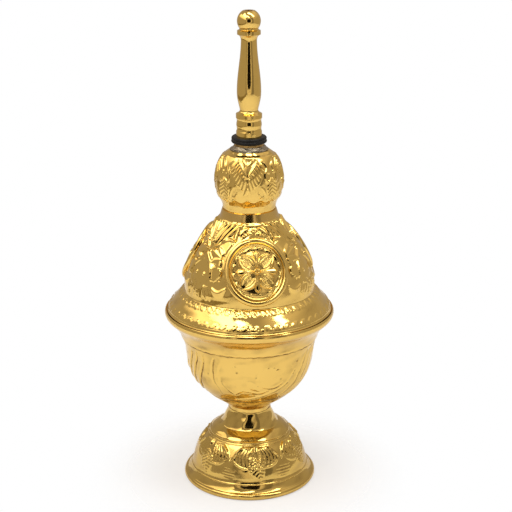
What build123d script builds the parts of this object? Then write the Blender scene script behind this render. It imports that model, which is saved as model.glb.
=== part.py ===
from build123d import *
from math import cos, radians, sin
import os

# Holy water sprinkler: a covered bowl on a bell foot, with a knop and a hollow spout that unscrews.
# Millimetres, +Z up, origin at the middle of the foot on the surface it stands on.
# The first medallion faces -Y.
# Every outline below is the outer face of its piece, as radius and height.

# Sheet, fits and joints
sheet = 0.8  # wall of the raised and stamped pieces
fit = 0.05  # radial clearance of pieces let into each other
solder_film = 0.1  # solder under an applied piece
stud_clearance = 0.2  # radial, round the stud
seam_gap = 0.4  # where the rolled edge closes on itself

# Foot
foot_height = 39.2
foot_radius = 35.2
edge_roll = 1.8  # outer radius of the rolled edge
edge_wear = 0.1  # flat worn on the rolled edge
edge_seam_angle = 100  # where the bell runs into the rolled edge
bell_band_radius = 30.9
bell_band_height = 7.2
bell_radius = 30.4
bell_height = 8.9
shoulder_radius = 21.7
shoulder_height = 25.2
bell_bulge = 1.5
shoulder_step_radius = 20.8
shoulder_step_height = 26.9
trumpet_radius = 15.6
trumpet_height = 30.3
shoulder_bulge = 0.35
stem_waist_radius = 12.9
stem_waist_height = 35.0
stem_radius = 11.2
bead_radius = 0.35

# Bowl, heights above the top of the stem
bowl_seat_radius = 11.0
bowl_seat_height = 2.4
funnel_radius = 20.8
funnel_height = 9.3
belly_radius = 29.8
belly_height = 19.3
side_radius = 33.15
side_height = 30.3
flare_radius = 35.6
flare_height = 41.4
brim_height = 51.1
flare_hollow = 0.9
brim_radius = 44.2
hem_height = 5.2
hem_lip_width = 1.45  # from the outside of the hem to the ledge's upstand
hem_undercut = 0.8  # of the hem's lower edge, inwards from the upstand
hem_widest_height = 3.4  # above the brim
hem_crown_width = 0.85  # from the upstand outwards to the hem's top
ledge_height = 0.9
ledge_width = 1.5

# Dome, heights above the ledge of the brim
lip_height = 4.0
rim_border_rise = 6.1
rim_border_inset = 0.6
crease_inset = 10.3  # of the crease from the brim's radius
crease_rise = 15.0
skirt_hollow = 0.45
dome_inset = 10.5  # of the dome's widest line, and of the two below, from the brim's radius
dome_rise = 18.4
cheek_inset = 13.1
cheek_rise = 29.3
cone_inset = 19.6
cone_rise = 41.3
dome_neck_radius = 15.5
dome_neck_rise = 54.0
spigot_height = 2.0  # of the dome's neck inside the collar

# Collar
collar_radius = 15.2
collar_taper = 1.3
collar_height = 4.4
collar_thickness = 0.8

# Knop, heights above the joint inside the collar
knop_waist_radius = 13.6
knop_waist_rise = 3.7
knop_swell_radius = 15.9
knop_swell_rise = 9.3
knop_radius = 17.15
knop_rise = 14.3
knop_upper_radius = 15.5
knop_upper_rise = 26.3
knop_mouth_radius = 10.3
knop_mouth_rise = 33.5

# Bush and its solder
bush_radius = 7.65
bush_height = 6.0
bush_stand = 3.0  # of the bush above the mouth of the knop
bush_chamfer = 0.2
fillet_height = 1.8
fillet_bite = 1.2

# Gasket
gasket_radius = 9.05
gasket_height = 3.3
gasket_lip = 0.9  # width of each rounded lip
gasket_lip_height = 1.0  # of each lip's widest line above or below its face
gasket_upper_inset = 0.12  # of the upper lip from the lower one's radius
gasket_groove = 0.35
gasket_bore_clearance = 0.1

# Spout, heights above its seat on the gasket
spigot_radius = 5.8
spigot_length = 9.5
base_radius = 6.5
base_height = 2.6
base_groove_radius = 6.15
base_groove_height = 3.9
base_bead_radius = 6.4
base_bead_height = 6.0
base_upper_groove_height = 7.9
flange_radius = 6.6
flange_height = 9.4
flange_thickness = 2.1
waist_radius = 4.58
waist_height = 13.5
belly_spout_radius = 6.09
belly_spout_height = 22.5
throat_radius = 4.0
throat_drop = 2.6  # of the throat below the ring
ring_radius = 5.85
ring_drop = 6.6  # of the ring's lower edge below the middle of the ball
ring_thickness = 2.5
ring_step = 0.6  # height of the ring's slope, and of the groove over it
ball_radius = 5.9
ball_drop = 5.1  # of the middle of the ball below the tip
tip_height = 62.9
bore_radius = 2.4
bore_drop = 4.6  # of the wide bore's end below the throat
throat_bore_radius = 1.6
tip_wall = 1.3
dish_radius = 1.9
dish_depth = 0.4
centre_hole_radius = 0.6
outer_hole_radius = 0.35
outer_hole_ring = 1.2
outer_holes = 4

# Stud, washer and nut that draw the foot to the bowl
stud_radius = 3.0
stud_head_radius = 7.0
stud_head_height = 1.2
stud_end = 2.0  # of the stud below the nut
washer_radius = 7.5
washer_thickness = 1.0
nut_flats = 10.0
nut_height = 5.0

# Medallions
medallions = 3
medallion_width = 31.4
medallion_tall = 34.0
medallion_rise = 33.3  # of their middle above the ledge
medallion_tilt = 25
medallion_plate = 0.9
medallion_ring = 1.9
medallion_relief = 1.5
ring_width = 2.4
inner_ring_gap = 0.6
inner_ring_width = 0.7
petals = 4  # and as many leaves between them
petal_length = 10.0
petal_width = 6.4
leaf_length = 8.4
leaf_width = 2.4
boss_radius = 1.6

# Directions of the outlines at the ends of their curves, as radius and height
upright = (0.0, 1.0)
trumpet_direction = (-0.8, 0.6)
stem_direction = (-0.15, 1.0)
funnel_direction = (0.75, 0.66)
side_direction = (0.1, 1.0)
flare_direction = (0.5, 0.85)
hem_foot_direction = (1.0, 0.9)
hem_crown_direction = (-0.7, 0.7)
dome_direction = (-0.02, 1.0)
dome_neck_direction = (-0.6, 1.0)
knop_direction = (0.05, 1.0)
knop_mouth_direction = (-1.0, 0.85)
base_direction = (-0.6, 1.0)
flange_direction = (0.7, 1.0)
neck_in_direction = (-0.9, 0.5)
waist_in_direction = (-0.1, 1.0)
waist_out_direction = (0.2, 1.0)
throat_out_direction = (0.1, 1.0)
ring_direction = (1.0, 0.3)

# Radii and heights that follow from the sizes above
crease_radius = brim_radius - crease_inset
dome_radius = brim_radius - dome_inset
cheek_radius = brim_radius - cheek_inset
cone_radius = brim_radius - cone_inset
ball_height = tip_height - ball_drop
ring_height = ball_height - ring_drop
throat_height = ring_height - throat_drop
bore_height = throat_height - bore_drop

# Levels that follow from the sizes above
edge_centre = (foot_radius - edge_roll, edge_roll - edge_wear)
brim_level = foot_height + brim_height
ledge_level = brim_level + ledge_height
joint_level = ledge_level + dome_neck_rise + spigot_height + solder_film
collar_level = ledge_level + dome_neck_rise
mouth_level = joint_level + knop_mouth_rise
bush_top = mouth_level + bush_stand
seat_level = bush_top + gasket_height
collar_slope = collar_taper / collar_height
spline_steps = 12  # of a parallel curve between its ends


def point(radius, height, base=0.0):
    """A point of an outline, base being the height that the piece's own heights start from."""
    return (radius, base + height)


def band(outline, thickness, side):
    """Section between the outline and its parallel on one side, whose curves are redrawn as splines."""
    edges = []
    for edge in Wire(outline).offset_2d(thickness, kind=Kind.ARC, side=side, closed=True).edges():
        if edge.geom_type == GeomType.OFFSET:
            stations = [edge @ (step / spline_steps) for step in range(spline_steps + 1)]
            edge = Edge.make_spline(stations, tangents=[edge % 0, edge % 1])
        edges.append(edge)
    return make_face(Wire(edges))


def wall(outline):
    """Section of a sheet whose outer face is the outline, drawn upwards."""
    return band(outline, sheet, Side.LEFT)


def skin(outline, thickness):
    """Section of a layer that lies on the outside of the outline."""
    return band(outline, thickness, Side.RIGHT)


def bead(radius, height):
    """Section of a fine half-round bead whose middle is on the outline."""
    return Pos(radius, height) * Circle(bead_radius)


def turned(section, angle=360.0):
    """The section, drawn as radius and height, turned about the upright axis."""
    return revolve(Plane.XZ * section, Axis.Z, angle)


def ring_block(inner, outer, bottom, top):
    """A plain ring."""
    body = extrude(Plane.XY.offset(bottom) * Circle(outer), top - bottom)
    return body - extrude(Plane.XY.offset(bottom) * Circle(inner), top - bottom)


def foot_outline():
    seam_radius = edge_roll - sheet / 2
    seam = point(edge_centre[0] + seam_radius * cos(radians(edge_seam_angle)),
                 edge_centre[1] + seam_radius * sin(radians(edge_seam_angle)))
    band = point(bell_band_radius, bell_band_height)
    bell = point(bell_radius, bell_height)
    shoulder = point(shoulder_radius, shoulder_height)
    step = point(shoulder_step_radius, shoulder_step_height)
    trumpet = point(trumpet_radius, trumpet_height)
    waist = point(stem_waist_radius, stem_waist_height)
    top = point(stem_radius, foot_height)
    hole = point(stud_radius + stud_clearance, foot_height)
    return [
        Line(seam, band),
        Line(band, bell),
        SagittaArc(bell, shoulder, -bell_bulge),
        Line(shoulder, step),
        SagittaArc(step, trumpet, -shoulder_bulge),
        Spline(trumpet, waist, top, tangents=[trumpet_direction, stem_direction]),
        Line(top, hole),
    ]


def foot_shell():
    """Bell foot and stem in one sheet, its edge rolled round a wire."""
    roll = Pos(*edge_centre) * (Circle(edge_roll) - Circle(edge_roll - sheet))
    seam = Pos(edge_centre[0] - edge_roll, edge_centre[1] + seam_gap) * Rectangle(2 * edge_roll, seam_gap)
    section = wall(foot_outline()) + (roll - seam)
    section += bead(bell_band_radius, bell_band_height)
    section += bead(shoulder_radius, shoulder_height)
    section += bead(shoulder_step_radius + bead_radius / 2, shoulder_step_height - bead_radius)
    below = Pos(foot_radius, -foot_height / 2) * Rectangle(2 * foot_radius, foot_height)
    return turned(section - below)


def foot_edge_wire():
    """Wire inside the rolled edge."""
    return turned(Pos(*edge_centre) * Circle(edge_roll - sheet))


def bowl_outline():
    hole = point(stud_radius + stud_clearance, 0, foot_height)
    seat = point(bowl_seat_radius, 0, foot_height)
    funnel_start = point(bowl_seat_radius + bead_radius, bowl_seat_height, foot_height)
    funnel = point(funnel_radius, funnel_height, foot_height)
    belly = point(belly_radius, belly_height, foot_height)
    side = point(side_radius, side_height, foot_height)
    flare = point(flare_radius, flare_height, foot_height)
    brim = point(brim_radius - hem_lip_width - hem_undercut, brim_height, foot_height)
    return [
        Line(hole, seat),
        Line(seat, funnel_start),
        Line(funnel_start, funnel),
        Spline(funnel, belly, side, tangents=[funnel_direction, side_direction]),
        Spline(side, flare, tangents=[side_direction, flare_direction]),
        SagittaArc(flare, brim, flare_hollow),
    ]


def hem_section():
    """Rolled hem of the brim, with the ledge and upstand that take the dome's lip."""
    inside = brim_radius - hem_lip_width
    foot = point(inside - hem_undercut, brim_level)
    outermost = point(brim_radius, brim_level + hem_widest_height)
    crown = point(inside + hem_crown_width, brim_level + hem_height)
    upstand = point(inside, brim_level + hem_height - sheet / 2)
    ledge_outside = point(inside, ledge_level)
    ledge_inside = point(inside - ledge_width, ledge_level)
    under = point(inside - ledge_width, brim_level)
    outline = [
        Spline(foot, outermost, crown, tangents=[hem_foot_direction, hem_crown_direction]),
        Line(crown, upstand),
        Line(upstand, ledge_outside),
        Line(ledge_outside, ledge_inside),
        Line(ledge_inside, under),
        Line(under, foot),
    ]
    return make_face(Wire(outline))


def bowl_shell():
    """Chased bowl with a plain flare and a hem round the brim."""
    return turned(wall(bowl_outline()) + hem_section())


def dome_start():
    return point(brim_radius - hem_lip_width - fit, 0, ledge_level)


def dome_foot():
    """The short upright band between the crease and the chased part."""
    crease = point(crease_radius, crease_rise, ledge_level)
    return Line(crease, point(dome_radius, dome_rise, ledge_level))


def cone_outline():
    """The tall chased part of the dome."""
    base = point(dome_radius, dome_rise, ledge_level)
    cheek = point(cheek_radius, cheek_rise, ledge_level)
    cone = point(cone_radius, cone_rise, ledge_level)
    neck = point(dome_neck_radius, dome_neck_rise, ledge_level)
    return Spline(base, cheek, cone, neck, tangents=[dome_direction, dome_neck_direction])


def collar_inside(level):
    """Radius inside the conical collar at a level."""
    return collar_radius - collar_thickness - collar_slope * (level - collar_level)


def dome_outline():
    start = dome_start()
    lip = point(start[0], lip_height, ledge_level)
    border = point(start[0] - rim_border_inset, rim_border_rise, ledge_level)
    crease = point(crease_radius, crease_rise, ledge_level)
    neck = point(dome_neck_radius, dome_neck_rise, ledge_level)
    shoulder = point(collar_inside(collar_level) - fit, 0, collar_level)
    end_level = collar_level + spigot_height
    end = point(collar_inside(end_level) - fit, end_level)
    return [
        Line(start, lip),
        Line(lip, border),
        SagittaArc(border, crease, -skirt_hollow),
        dome_foot(),
        cone_outline(),
        Line(neck, shoulder),
        Line(shoulder, end),
    ]


def dome_shell():
    """Skirt and dome in one sheet, its lip let into the hem of the brim."""
    start = dome_start()
    section = wall(dome_outline())
    section += bead(start[0] - bead_radius / 2, ledge_level + lip_height + bead_radius)
    border_bead_height = ledge_level + rim_border_rise - bead_radius
    section += bead(start[0] - rim_border_inset - bead_radius / 2, border_bead_height)
    return turned(section)


def collar_section():
    bottom = point(collar_radius, collar_level)
    top = point(collar_radius - collar_taper, collar_level + collar_height)
    inner_top = point(top[0] - collar_thickness, top[1])
    inner_bottom = point(bottom[0] - collar_thickness, bottom[1])
    return make_face(Polyline(bottom, top, inner_top, inner_bottom, close=True))


def neck_collar():
    """Plain conical band over the joint of dome and knop."""
    return turned(collar_section())


def knop_outline():
    collar_top = collar_level + collar_height
    start = point(collar_inside(joint_level) - fit, joint_level)
    shoulder = point(collar_inside(collar_top) - fit, collar_top)
    waist = point(knop_waist_radius, knop_waist_rise, joint_level)
    edge = point((shoulder[0] + waist[0]) / 2, collar_top)
    swell = point(knop_swell_radius, knop_swell_rise, joint_level)
    widest = point(knop_radius, knop_rise, joint_level)
    upper = point(knop_upper_radius, knop_upper_rise, joint_level)
    mouth = point(knop_mouth_radius, knop_mouth_rise, joint_level)
    return [
        Line(start, shoulder),
        Line(shoulder, edge),
        Line(edge, waist),
        Spline(waist, swell, widest, upper, mouth, tangents=[knop_direction, knop_mouth_direction]),
    ]


def neck_bulb():
    """Chased hollow knop, open at the bottom and at its mouth."""
    return turned(wall(knop_outline()))


def neck_solder():
    """Solder fillet that closes the mouth of the knop round the bush."""
    fillet_top = point(bush_radius, mouth_level + fillet_height)
    edge = point(knop_mouth_radius, mouth_level)
    inner_edge = point(knop_mouth_radius - sheet, mouth_level - sheet)
    under = point(bush_radius, mouth_level - fillet_bite)
    section = make_face(Polyline(fillet_top, edge, inner_edge, under, close=True))
    return turned(section - wall(knop_outline()))


def neck_bush():
    """Turned ring that takes the spout's thread."""
    outer = [
        point(spigot_radius + fit, bush_top - bush_height),
        point(bush_radius, bush_top - bush_height),
        point(bush_radius, bush_top - bush_chamfer),
        point(bush_radius - bush_chamfer, bush_top),
        point(spigot_radius + fit, bush_top),
    ]
    return turned(make_face(Polyline(*outer, close=True)))


def gasket():
    """Rubber washer with two rounded lips."""
    bore = spigot_radius + gasket_bore_clearance
    waist = gasket_radius - gasket_groove
    middle = bush_top + gasket_height / 2
    outline = [
        Line(point(bore, bush_top), point(gasket_radius - gasket_lip, bush_top)),
        ThreePointArc(point(gasket_radius - gasket_lip, bush_top),
                      point(gasket_radius, bush_top + gasket_lip_height),
                      point(waist, middle)),
        ThreePointArc(point(waist, middle),
                      point(gasket_radius - gasket_upper_inset, seat_level - gasket_lip_height),
                      point(gasket_radius - gasket_lip, seat_level)),
        Line(point(gasket_radius - gasket_lip, seat_level), point(bore, seat_level)),
        Line(point(bore, seat_level), point(bore, bush_top)),
    ]
    return turned(make_face(Wire(outline)))


def ball_edge(level):
    """Radius of the ball at a height above the spout's seat."""
    return (ball_radius ** 2 - (level - ball_height) ** 2) ** 0.5


def spout_outline():
    flange_top = flange_height + flange_thickness
    ring_top = ring_height + ring_thickness
    groove_height = ring_top + ring_step
    spigot_bottom = point(0, -spigot_length, seat_level)
    spigot_edge = point(spigot_radius, -spigot_length, seat_level)
    spigot_top = point(spigot_radius, 0, seat_level)
    base = point(base_radius, 0, seat_level)
    base_top = point(base_radius, base_height, seat_level)
    groove = point(base_groove_radius, base_groove_height, seat_level)
    bead_side = point(base_bead_radius, base_bead_height, seat_level)
    upper_groove = point(base_groove_radius, base_upper_groove_height, seat_level)
    flange = point(flange_radius, flange_height, seat_level)
    flange_edge = point(flange_radius, flange_top, seat_level)
    waist = point(waist_radius, waist_height, seat_level)
    belly = point(belly_spout_radius, belly_spout_height, seat_level)
    throat = point(throat_radius, throat_height, seat_level)
    ring_under = point(ring_radius, ring_height, seat_level)
    ring_over = point(ring_radius, ring_top - ring_step, seat_level)
    ring_shoulder = point(ball_edge(groove_height), ring_top, seat_level)
    ball_start = point(ball_edge(groove_height), groove_height, seat_level)
    ball_side = point(ball_radius, ball_height, seat_level)
    ball_end = point(ball_edge(tip_height), tip_height, seat_level)
    tip = point(0, tip_height, seat_level)
    return [
        Line(spigot_bottom, spigot_edge),
        Line(spigot_edge, spigot_top),
        Line(spigot_top, base),
        Line(base, base_top),
        Spline(base_top, groove, bead_side, upper_groove, flange,
               tangents=[base_direction, flange_direction]),
        Line(flange, flange_edge),
        Spline(flange_edge, waist, tangents=[neck_in_direction, waist_in_direction]),
        Spline(waist, belly, tangents=[waist_out_direction, upright]),
        Spline(belly, throat, tangents=[upright, upright]),
        Spline(throat, ring_under, tangents=[throat_out_direction, ring_direction]),
        Line(ring_under, ring_over),
        Line(ring_over, ring_shoulder),
        Line(ring_shoulder, ball_start),
        ThreePointArc(ball_start, ball_side, ball_end),
        Line(ball_end, tip),
        Line(tip, spigot_bottom),
    ]


def bored(radius, bottom, top):
    """A round cutter on the axis, its heights above the spout's seat."""
    return extrude(Plane.XY.offset(seat_level + bottom) * Circle(radius), top - bottom)


def spout():
    """Turned baluster, bored from below, with a ball at its tip that has one wide and four fine holes."""
    body = turned(make_face(Wire(spout_outline())))
    body -= bored(bore_radius, -spigot_length, bore_height)
    body -= bored(throat_bore_radius, bore_height, tip_height - dish_depth - tip_wall)
    body -= bored(dish_radius, tip_height - dish_depth, tip_height)
    body -= bored(centre_hole_radius, tip_height - dish_depth - tip_wall, tip_height)
    under_dish = seat_level + tip_height - dish_depth - tip_wall
    for place in PolarLocations(outer_hole_ring, outer_holes):
        body -= extrude(Plane.XY.offset(under_dish) * place * Circle(outer_hole_radius), tip_wall)
    return body


def stem_stud():
    """Stud with a flat head on the floor of the bowl, through bowl and stem."""
    floor = foot_height + sheet
    head = extrude(Plane.XY.offset(floor) * Circle(stud_head_radius), stud_head_height)
    end = foot_height - sheet - washer_thickness - nut_height - stud_end
    return head + extrude(Plane.XY.offset(end) * Circle(stud_radius), floor - end)


def stem_washer():
    top = foot_height - sheet
    return ring_block(stud_radius + stud_clearance, washer_radius, top - washer_thickness, top)


def stem_nut():
    """Hexagon nut, its hole on the stud's own size."""
    top = foot_height - sheet - washer_thickness
    hexagon = RegularPolygon(nut_flats / 2, 6, major_radius=False)
    return extrude(Plane.XY.offset(top - nut_height) * (hexagon - Circle(stud_radius)), nut_height)


def lens(length, width):
    """A pointed leaf along X, from the middle of the medallion outwards."""
    half = width / 2
    upper = SagittaArc((0, 0), (length, 0), half)
    lower = SagittaArc((0, 0), (length, 0), -half)
    return make_face(Wire([upper, lower]))


def medallion_layer(drawing, thickness):
    """The drawing, pressed straight on to the first medallion's place as a layer of that thickness."""
    arc = radians(medallion_tilt)
    middle = (0, -cone_at_middle(), ledge_level + medallion_rise)
    face_plane = Plane(origin=middle, x_dir=(1, 0, 0), z_dir=(0, -cos(arc), sin(arc)))
    stamp = extrude(face_plane * drawing, medallion_tall / 2, both=True)
    sector = 360.0 / medallions
    face = [dome_foot(), cone_outline()]
    layer = skin(face, thickness) - skin(face, solder_film)
    shell = Rot(Z=-90 - sector / 2) * turned(layer, sector)
    return shell & stamp


def cone_at_middle():
    """Radius of the dome at the height of the medallions' middle."""
    level = ledge_level + medallion_rise
    crossing = cone_outline().intersect(Line((0, level), (2 * dome_radius, level)))
    return crossing.X if isinstance(crossing, Vector) else crossing[0].X


def medallion():
    """Struck disc: a plate, a smooth ring, a fine inner ring and a cross-shaped rosette."""
    wide = medallion_width / 2
    tall = medallion_tall / 2
    rim = Ellipse(tall, wide, rotation=90) - Ellipse(tall - ring_width, wide - ring_width, rotation=90)
    step = ring_width + inner_ring_gap
    end = step + inner_ring_width
    fine = Ellipse(tall - step, wide - step, rotation=90) - Ellipse(tall - end, wide - end, rotation=90)
    turn = 360.0 / petals
    wide_petals = [Rot(Z=turn * (step + 0.5)) * lens(petal_length, petal_width) for step in range(petals)]
    leaves = [Rot(Z=turn * step) * lens(leaf_length, leaf_width) for step in range(petals)]
    rosette = Circle(boss_radius) + wide_petals + leaves
    body = medallion_layer(Ellipse(tall, wide, rotation=90), medallion_plate)
    body += medallion_layer(rim, medallion_ring)
    body += medallion_layer(fine + rosette, medallion_relief)
    return body


pieces = {
    "foot_shell": foot_shell(),
    "foot_edge_wire": foot_edge_wire(),
    "bowl_shell": bowl_shell(),
    "stem_stud": stem_stud(),
    "stem_washer": stem_washer(),
    "stem_nut": stem_nut(),
    "dome_shell": dome_shell(),
    "neck_collar": neck_collar(),
    "neck_bulb": neck_bulb(),
    "neck_solder": neck_solder(),
    "neck_bush": neck_bush(),
    "gasket": gasket(),
    "spout": spout(),
}

first_medallion = medallion()
for name, turn in (("front", 0), ("rear_right", 1), ("rear_left", 2)):
    pieces["medallion_" + name] = Rot(Z=turn * 360.0 / medallions) * first_medallion

os.makedirs("parts", exist_ok=True)
for name, solid in pieces.items():
    solid.label = name
    export_step(solid, "parts/" + name + ".step")
    box = solid.bounding_box()
    print(name, len(solid.solids()), round(solid.volume, 1), round(box.min.Z, 2), round(box.max.Z, 2))
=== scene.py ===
"""Dresses the holy water sprinkler: chased and struck gilt sheet, turned spout, rubber washer, plain studio.

Sizes inside the mesh code are millimetres, with the angle counted in degrees from the first medallion,
which faces -Y, towards +X. The objects themselves are in metres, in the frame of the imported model.
"""

import math

import bpy
import numpy as np
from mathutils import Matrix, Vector
from mathutils.bvhtree import BVHTree


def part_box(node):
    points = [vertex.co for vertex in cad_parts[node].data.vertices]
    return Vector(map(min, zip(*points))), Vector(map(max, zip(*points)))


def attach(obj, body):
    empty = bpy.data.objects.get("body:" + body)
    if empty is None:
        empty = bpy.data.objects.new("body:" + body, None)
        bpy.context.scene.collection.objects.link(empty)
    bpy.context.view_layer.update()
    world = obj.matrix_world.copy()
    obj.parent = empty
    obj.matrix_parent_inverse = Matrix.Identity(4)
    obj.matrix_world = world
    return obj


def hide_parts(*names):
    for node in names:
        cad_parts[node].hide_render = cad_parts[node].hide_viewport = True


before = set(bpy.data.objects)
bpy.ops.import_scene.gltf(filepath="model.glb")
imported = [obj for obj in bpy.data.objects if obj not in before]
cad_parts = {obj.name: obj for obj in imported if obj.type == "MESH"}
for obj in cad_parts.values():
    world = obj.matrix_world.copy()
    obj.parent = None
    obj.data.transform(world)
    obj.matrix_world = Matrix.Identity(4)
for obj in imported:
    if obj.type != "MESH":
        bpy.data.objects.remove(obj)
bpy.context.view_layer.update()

bl_info = {
    "name": "Holy water sprinkler",
    "version": (1, 0, 0),
    "blender": (4, 5, 0),
    "location": "3D View > Sidebar > Sprinkler",
    "description": "Builds the chased gilt dress of a holy water sprinkler on its packed frame",
    "category": "Object",
}

MM = 0.001

# Levels of the ornament, in millimetres above the surface it stands on
FOOT_BAND = (8.8, 24.8)
BOWL_BAND = (51.3, 80.7)
OUTER_BORDER = (97.5, 99.8)
INNER_BORDER = (103.3, 106.0)
CONE_BAND = (107.4, 145.2)
KNOP_BAND = (157.0, 178.6)
STAMPS_ROUND = 48  # tongues round the skirt, and scallops round the bowl

# Levels between which the relief dies away or comes in
FOOT_EDGE_FADE = (0.3, 3.0)
HEM_FADE = (90.0, 88.5)
SKIRT_FADE = (94.6, 95.6)
COLLAR_FADE = (143.8, 145.0)
KNOP_FADE = (149.8, 151.0)
KNOP_MOUTH = (178.2, 180.8)

# How finely the pieces are drawn: gap between stations outside, stations inside, faces round
FOOT_GAP, FOOT_BELL_GAP, FOOT_INSIDE = 0.36, 1.5, 30
BOWL_GAP, BOWL_INSIDE = 0.38, 34
DOME_GAP, DOME_INSIDE = 0.39, 30
KNOP_GAP, KNOP_INSIDE, KNOP_COLUMNS = 0.25, 26, 400
COLLAR_GAP, COLLAR_INSIDE, COLLAR_COLUMNS = 0.3, 3, 240
SOLDER_GAP, BUSH_GAP, JOINT_COLUMNS = 0.15, 0.12, 200
WASHER_GAP, WASHER_COLUMNS = 0.1, 180
SPOUT_GAP, SPOUT_COLUMNS = 0.17, 144
FINE_STEP = 0.02  # of the curve that the stations are picked from
STROKE_STEP = 0.45  # between the points of a chased stroke
OUTER_SLIP = 0.08  # a ring of points further behind the outer face than this is left out of it

WAVES = 9  # that make up the unevenness
RAY_FROM = (0.2, 0.0003)  # metres, outside the object and off its mesh lines

# Foot edge: radius, degrees where the roll starts and between its points, height of bell behind it
ROLL_RADIUS = 1.8
ROLL_START = 118.0
ROLL_STEP = 12.0
ROLL_OVERLAP = 2.9

# Medallions
MEDALLION_LEVEL = 124.5
MEDALLION_TILT = 25.0
MEDALLION_TALL = 34.0
MEDALLION_RIM = 2.4
MEDALLION_PLATE = 0.85
MEDALLION_CROWN = 1.05  # of the rim, above the plate
MEDALLION_SINK = 0.25  # of the field, below the plate
MEDALLION_BACK = 0.02  # above the dome
MEDALLION_CLEAR = 15.9  # half width of the dome kept plain under a medallion
MEDALLION_GAP, MEDALLION_RINGS, MEDALLION_SPOKES = 0.3, 118, 324
MEDALLION_REACH = (-16.0, 8.0)  # between which the dome lies behind and before the flat drawing
HALVINGS = 34
MEDALLION_TURNS = {"front": 0.0, "rear_right": 120.0, "rear_left": 240.0}

# Neck and spout: radii of the bores, thread with its run-out under the seat, spout's bore and dish, fine holes
BUSH_BORE = 5.86
WASHER_BORE = 5.92
THREAD_PITCH = 1.5
THREAD_DEPTH = 0.5
THREAD_END = (0.4, 0.9)
SPOUT_BORE = ((2.4, 177.6), (2.4, 231.1), (1.6, 231.1), (1.6, 248.3), (0.01, 248.3))
SPOUT_DISH = ((1.9, 250.0), (1.9, 249.6), (0.01, 249.6))
TIP_HOLES = 4
TIP_HOLE_RING = 1.2
TIP_HOLE_RADIUS = 0.35
TIP_CENTRE_RADIUS = 0.6
TIP_HOLE_SIDES = 20
DRILL_BELOW, DRILL_ABOVE = 2.2, 0.5

# Dulled colours of the plain pieces
SOLDER_DULL = (0.1, 0.09, 0.07)
BUSH_DULL = (0.09, 0.05, 0.02)
RUBBER_DUST = (0.03, 0.03, 0.03)
STEEL_DULL = (0.2, 0.2, 0.2)

# Studio, in metres: the tent's walls, the window round the lens, and the soft boxes overhead, each with its
# place, width, length, turn in degrees and share of the light
TENT_WIDE, TENT_BACK, TENT_FRONT, TENT_TALL = 0.60, 0.55, -0.74, 0.80
TENT_INSET = 0.02
FLOOR_LEFT = -0.40
FLOOR_FADE = (0.0361, 0.0912)  # from the axis, where the paper starts and ends fading into white
FLOOR_WHITE = 0.55  # share of plain white that the camera sees in the paper
WINDOW_HALF, WINDOW_CUT, WINDOW_GLOW = 0.24, 0.08, 0.006
WARM = (1.0, 0.87, 0.76)
BROWN = (1.0, 0.78, 0.45)
SOFT_BOXES = (
    ("soft_box_left", (-0.42, -0.20), 0.30, 0.62, 0.0, 0.55),
    ("soft_box_right", (0.25, -0.20), 0.15, 0.76, 60.0, 1.0),
    ("soft_box_front", (-0.12, -0.51), 0.11, 0.44, 33.0, 1.0),
)


class SprinklerWork(bpy.types.PropertyGroup):
    """Sizes of the hand work."""

    sheet: bpy.props.FloatProperty(
        name="Sheet", description="Thickness of the raised sheet", default=0.8 * MM, unit="LENGTH")
    chasing: bpy.props.FloatProperty(
        name="Chasing", description="How strongly the ornament stands out", default=1.0, min=0.0, max=2.0)
    unevenness: bpy.props.FloatProperty(
        name="Unevenness", description="Wander of the hammered faces", default=0.05 * MM, unit="LENGTH")
    columns: bpy.props.IntProperty(
        name="Columns", description="Faces round each chased piece", default=432, min=96, max=600)


class SprinklerColours(bpy.types.PropertyGroup):
    """Colours of the metals and the rubber."""

    gilt: bpy.props.FloatVectorProperty(
        name="Gilt", description="Polished gilding", subtype="COLOR", size=3, default=(0.87, 0.61, 0.17))
    tarnish: bpy.props.FloatVectorProperty(
        name="Tarnish", description="Metal left in the recesses", subtype="COLOR", size=3, default=(0.20, 0.105, 0.03))
    plain: bpy.props.FloatVectorProperty(
        name="Plain brass", description="Collar", subtype="COLOR", size=3, default=(0.80, 0.55, 0.17))
    bush: bpy.props.FloatVectorProperty(
        name="Bush brass", description="Dulled turned ring", subtype="COLOR", size=3, default=(0.50, 0.33, 0.12))
    solder: bpy.props.FloatVectorProperty(
        name="Solder", description="Soft solder", subtype="COLOR", size=3, default=(0.36, 0.31, 0.22))
    rubber: bpy.props.FloatVectorProperty(
        name="Rubber", description="Washer", subtype="COLOR", size=3, default=(0.006, 0.006, 0.006))
    steel: bpy.props.FloatVectorProperty(
        name="Steel", description="Hidden fasteners", subtype="COLOR", size=3, default=(0.55, 0.55, 0.55))
    paper: bpy.props.FloatVectorProperty(
        name="Paper", description="Floor of the studio", subtype="COLOR", size=3, default=(0.93, 0.93, 0.93))


class SprinklerStudio(bpy.types.PropertyGroup):
    """Camera and light."""

    distance: bpy.props.FloatProperty(
        name="Distance", description="Camera from the object's axis", default=0.690, unit="LENGTH")
    height: bpy.props.FloatProperty(
        name="Height", description="Camera above the floor", default=0.352, unit="LENGTH")
    side: bpy.props.FloatProperty(
        name="Side", description="Camera left of the first medallion",
        default=math.radians(7.6), unit="ROTATION")
    pitch: bpy.props.FloatProperty(
        name="Pitch", description="Camera downwards", default=math.radians(18.34), unit="ROTATION")
    pan: bpy.props.FloatProperty(
        name="Pan", description="Camera right of the object's axis", default=math.radians(0.29), unit="ROTATION")
    lens: bpy.props.FloatProperty(
        name="Lens", description="Focal length in millimetres", default=98.67)
    box_light: bpy.props.FloatProperty(
        name="Soft boxes", description="Brightness of the overhead soft boxes", default=5.6)
    wall_light: bpy.props.FloatProperty(
        name="Walls", description="Brightness of the tent's walls", default=0.5)


def unit(vectors):
    """The vectors, each brought to length one."""
    length = np.linalg.norm(vectors, axis=-1, keepdims=True)
    return vectors / np.maximum(length, 1e-9)


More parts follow.
